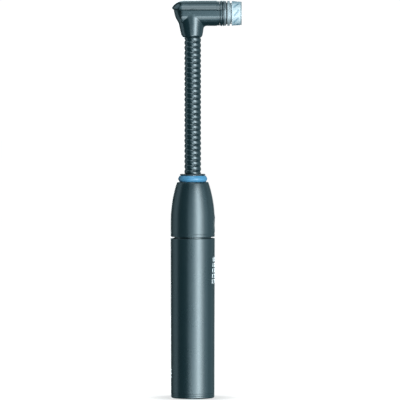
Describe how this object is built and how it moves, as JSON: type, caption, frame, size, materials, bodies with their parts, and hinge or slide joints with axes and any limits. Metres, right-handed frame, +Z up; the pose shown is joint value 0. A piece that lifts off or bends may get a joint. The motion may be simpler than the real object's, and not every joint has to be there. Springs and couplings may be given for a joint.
{
  "type": "curing light",
  "caption": "Cordless dental curing light: battery handle with push-button, bendable gooseneck and right-angle head with a pull-off clear tip.",
  "frame": {"origin": "centre of the base's flat underside, on the handle's axis", "axes": "+Z up along the handle and neck, +X the way the head points"},
  "size_m": [0.0401, 0.025, 0.2242],
  "materials": {
    "casing": "satin dark teal-grey anodised",
    "neck_steel": "satin dark, oiled",
    "bright_metal": "polished",
    "bare_aluminium": "turned, plain",
    "accent_blue": "semi-gloss blue",
    "button_grey": "matt soft touch",
    "seal_rubber": "matt black",
    "clear_tip": "clear pale blue, moulded ribs",
    "clear_rod": "polished ends",
    "brass": "plated",
    "spring_steel": "plain wire",
    "cell_can": "shrink-wrapped can",
    "sleeve_plastic": "thin moulded",
    "board_green": "solder mask",
    "component_black": "moulded",
    "emitter_yellow": "silicone dome",
    "cable_grey": "insulated lead",
    "marking": "printed light marks"
  },
  "bodies": {
    "handle": {"base_cap": "casing", "base_seal": "seal_rubber", "battery_tube": "casing", "battery_spring": "spring_steel", "battery_cell": "cell_can", "insulating_sleeve": "sleeve_plastic"},
    "seal": {"thread_seal": "seal_rubber"},
    "upper": {"thread_spigot": "bare_aluminium", "contact_board": "board_green", "centre_contact": "brass", "driver_board": "board_green", "driver_chip": "component_black", "driver_coil": "component_black", "tact_switch": "component_black", "upper_shell": "casing", "accent_ring": "accent_blue", "neck_nut": "casing", "neck_ferrule": "bare_aluminium", "neck_foot": "neck_steel", "neck_cable": "cable_grey"},
    "button": {"power_button": "button_grey"},
    "link_01": {"neck_link_01": "neck_steel"},
    "link_02": {"neck_link_02": "neck_steel"},
    "link_03": {"neck_link_03": "neck_steel"},
    "link_04": {"neck_link_04": "neck_steel"},
    "link_05": {"neck_link_05": "neck_steel"},
    "link_06": {"neck_link_06": "neck_steel"},
    "link_07": {"neck_link_07": "neck_steel"},
    "link_08": {"neck_link_08": "neck_steel"},
    "link_09": {"neck_link_09": "neck_steel"},
    "link_10": {"neck_link_10": "neck_steel"},
    "link_11": {"neck_link_11": "neck_steel"},
    "head": {"neck_top": "neck_steel", "elbow_housing": "casing", "led_lead": "cable_grey", "heat_sink": "bare_aluminium", "led_board": "board_green", "led_emitter": "emitter_yellow", "reflector": "bright_metal", "lens_collar": "casing", "bevel_ring": "bright_metal", "tip_gasket": "seal_rubber", "tip_socket": "bright_metal", "light_rod": "clear_rod"},
    "tip": {"tip_cap": "clear_tip", "tip_rim": "bright_metal"}
  },
  "joints": [
    {"name": "unscrew_rise", "type": "slide", "parent": "handle", "child": "seal", "axis": [0, 0, 1], "range_m": [0, 0.005]},
    {"name": "unscrew_turn", "type": "hinge", "parent": "seal", "child": "upper", "pos_m": [0, 0, 0.0907], "axis": [0, 0, 1], "range_deg": [0, 720]},
    {"name": "button_press", "type": "slide", "parent": "upper", "child": "button", "axis": [-1, 0, 0], "range_m": [0, 0.0004], "stiffness_N_per_m": 1500, "springref_m": -0.0002},
    {"name": "neck_forward", "type": "hinge", "parent": "upper", "child": "link_01", "pos_m": [0, 0, 0.13241], "axis": [0, 1, 0], "range_deg": [-15, 15], "deforming": ["neck_cable"]},
    {"name": "neck_sideways", "type": "hinge", "parent": "link_01", "child": "link_02", "pos_m": [0, 0, 0.13832], "axis": [1, 0, 0], "range_deg": [-15, 15]},
    {"name": "neck_forward_03", "type": "hinge", "parent": "link_02", "child": "link_03", "pos_m": [0, 0, 0.14422], "axis": [0, 1, 0], "range_deg": [-15, 15]},
    {"name": "neck_sideways_04", "type": "hinge", "parent": "link_03", "child": "link_04", "pos_m": [0, 0, 0.15013], "axis": [1, 0, 0], "range_deg": [-15, 15]},
    {"name": "neck_forward_05", "type": "hinge", "parent": "link_04", "child": "link_05", "pos_m": [0, 0, 0.15604], "axis": [0, 1, 0], "range_deg": [-15, 15]},
    {"name": "neck_sideways_06", "type": "hinge", "parent": "link_05", "child": "link_06", "pos_m": [0, 0, 0.16195], "axis": [1, 0, 0], "range_deg": [-15, 15]},
    {"name": "neck_forward_07", "type": "hinge", "parent": "link_06", "child": "link_07", "pos_m": [0, 0, 0.16785], "axis": [0, 1, 0], "range_deg": [-15, 15]},
    {"name": "neck_sideways_08", "type": "hinge", "parent": "link_07", "child": "link_08", "pos_m": [0, 0, 0.17376], "axis": [1, 0, 0], "range_deg": [-15, 15]},
    {"name": "neck_forward_09", "type": "hinge", "parent": "link_08", "child": "link_09", "pos_m": [0, 0, 0.17967], "axis": [0, 1, 0], "range_deg": [-15, 15]},
    {"name": "neck_sideways_10", "type": "hinge", "parent": "link_09", "child": "link_10", "pos_m": [0, 0, 0.18558], "axis": [1, 0, 0], "range_deg": [-15, 15]},
    {"name": "neck_forward_11", "type": "hinge", "parent": "link_10", "child": "link_11", "pos_m": [0, 0, 0.19148], "axis": [0, 1, 0], "range_deg": [-15, 15]},
    {"name": "neck_sideways_12", "type": "hinge", "parent": "link_11", "child": "head", "pos_m": [0, 0, 0.19739], "axis": [1, 0, 0], "range_deg": [-15, 15]},
    {"name": "tip_pull", "type": "slide", "parent": "head", "child": "tip", "axis": [1, 0, 0], "range_m": [0, 0.006]}
  ],
  "couplings": [
    {"joint": "unscrew_turn", "follows": "unscrew_rise", "rad_per_m": 2513.3},
    {"joint": "neck_forward_03", "follows": "neck_forward", "ratio": 1},
    {"joint": "neck_sideways_04", "follows": "neck_sideways", "ratio": 1},
    {"joint": "neck_forward_05", "follows": "neck_forward", "ratio": 1},
    {"joint": "neck_sideways_06", "follows": "neck_sideways", "ratio": 1},
    {"joint": "neck_forward_07", "follows": "neck_forward", "ratio": 1},
    {"joint": "neck_sideways_08", "follows": "neck_sideways", "ratio": 1},
    {"joint": "neck_forward_09", "follows": "neck_forward", "ratio": 1},
    {"joint": "neck_sideways_10", "follows": "neck_sideways", "ratio": 1},
    {"joint": "neck_forward_11", "follows": "neck_forward", "ratio": 1},
    {"joint": "neck_sideways_12", "follows": "neck_sideways", "ratio": 1}
  ]
}
